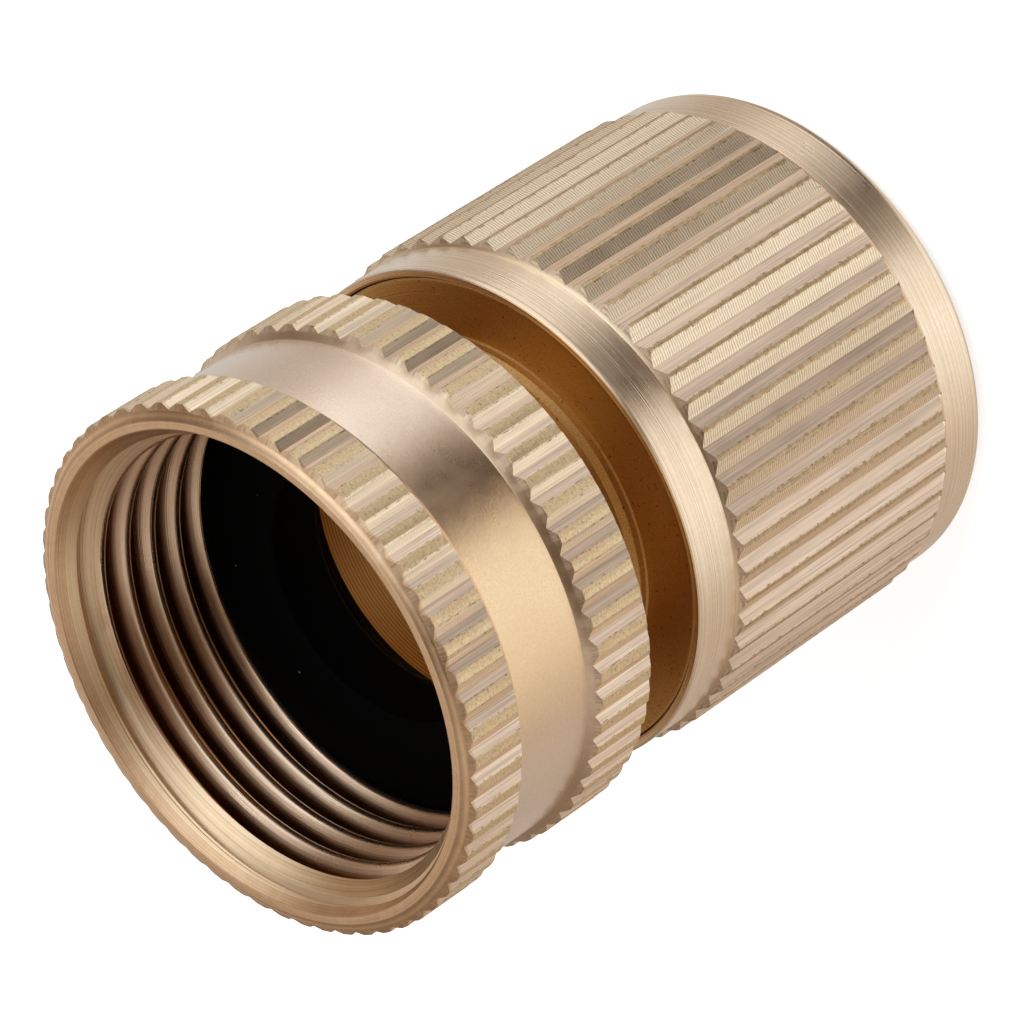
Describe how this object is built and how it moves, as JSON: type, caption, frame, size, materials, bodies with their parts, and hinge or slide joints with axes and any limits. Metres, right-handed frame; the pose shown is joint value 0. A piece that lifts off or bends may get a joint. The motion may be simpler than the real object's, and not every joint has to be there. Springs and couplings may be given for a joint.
{
  "type": "hose connector",
  "caption": "Brass hose connector: knurled head with an inside thread and a rubber washer, short neck, and a ball-lock socket with a knurled sleeve that slides to release the plug.",
  "frame": {"origin": "centre of the ring that the socket end stands on", "axes": "+Z along the axis, from the socket end towards the thread mouth; +X towards the first locking ball"},
  "size_m": [0.0292, 0.0292, 0.041],
  "materials": {
    "body_brass": "satin turned brass",
    "sleeve_brass": "satin turned brass",
    "washer_rubber": "black rubber",
    "seal_rubber": "black rubber",
    "spring_steel": "drawn stainless wire",
    "ring_steel": "stamped stainless steel",
    "ball_steel": "polished stainless steel"
  },
  "bodies": {
    "body": {"connector_body": "body_brass", "hose_washer": "washer_rubber", "seal_ring": "seal_rubber", "retaining_ring": "ring_steel"},
    "sleeve": {"release_sleeve": "sleeve_brass", "sleeve_spring": "spring_steel"},
    "ball_1": {"locking_ball_1": "ball_steel"},
    "ball_2": {"locking_ball_2": "ball_steel"},
    "ball_3": {"locking_ball_3": "ball_steel"},
    "ball_4": {"locking_ball_4": "ball_steel"},
    "ball_5": {"locking_ball_5": "ball_steel"},
    "ball_6": {"locking_ball_6": "ball_steel"}
  },
  "joints": [
    {"name": "sleeve_slide", "type": "slide", "parent": "body", "child": "sleeve", "axis": [0, 0, 1], "range_m": [0, 0.0032], "stiffness_N_per_m": 300, "springref_m": -0.012, "deforming": ["sleeve_spring"]},
    {"name": "ball_1_slide", "type": "slide", "parent": "body", "child": "ball_1", "axis": [1, 0, 0], "range_m": [0, 0.001]},
    {"name": "ball_2_slide", "type": "slide", "parent": "body", "child": "ball_2", "axis": [0.5, 0.866, 0], "range_m": [0, 0.001]},
    {"name": "ball_3_slide", "type": "slide", "parent": "body", "child": "ball_3", "axis": [-0.5, 0.866, 0], "range_m": [0, 0.001]},
    {"name": "ball_4_slide", "type": "slide", "parent": "body", "child": "ball_4", "axis": [-1, 0, 0], "range_m": [0, 0.001]},
    {"name": "ball_5_slide", "type": "slide", "parent": "body", "child": "ball_5", "axis": [-0.5, -0.866, 0], "range_m": [0, 0.001]},
    {"name": "ball_6_slide", "type": "slide", "parent": "body", "child": "ball_6", "axis": [0.5, -0.866, 0], "range_m": [0, 0.001]}
  ],
  "couplings": [
    {"joint": "ball_1_slide", "follows": "sleeve_slide", "ratio": 0.3125},
    {"joint": "ball_2_slide", "follows": "sleeve_slide", "ratio": 0.3125},
    {"joint": "ball_3_slide", "follows": "sleeve_slide", "ratio": 0.3125},
    {"joint": "ball_4_slide", "follows": "sleeve_slide", "ratio": 0.3125},
    {"joint": "ball_5_slide", "follows": "sleeve_slide", "ratio": 0.3125},
    {"joint": "ball_6_slide", "follows": "sleeve_slide", "ratio": 0.3125}
  ]
}
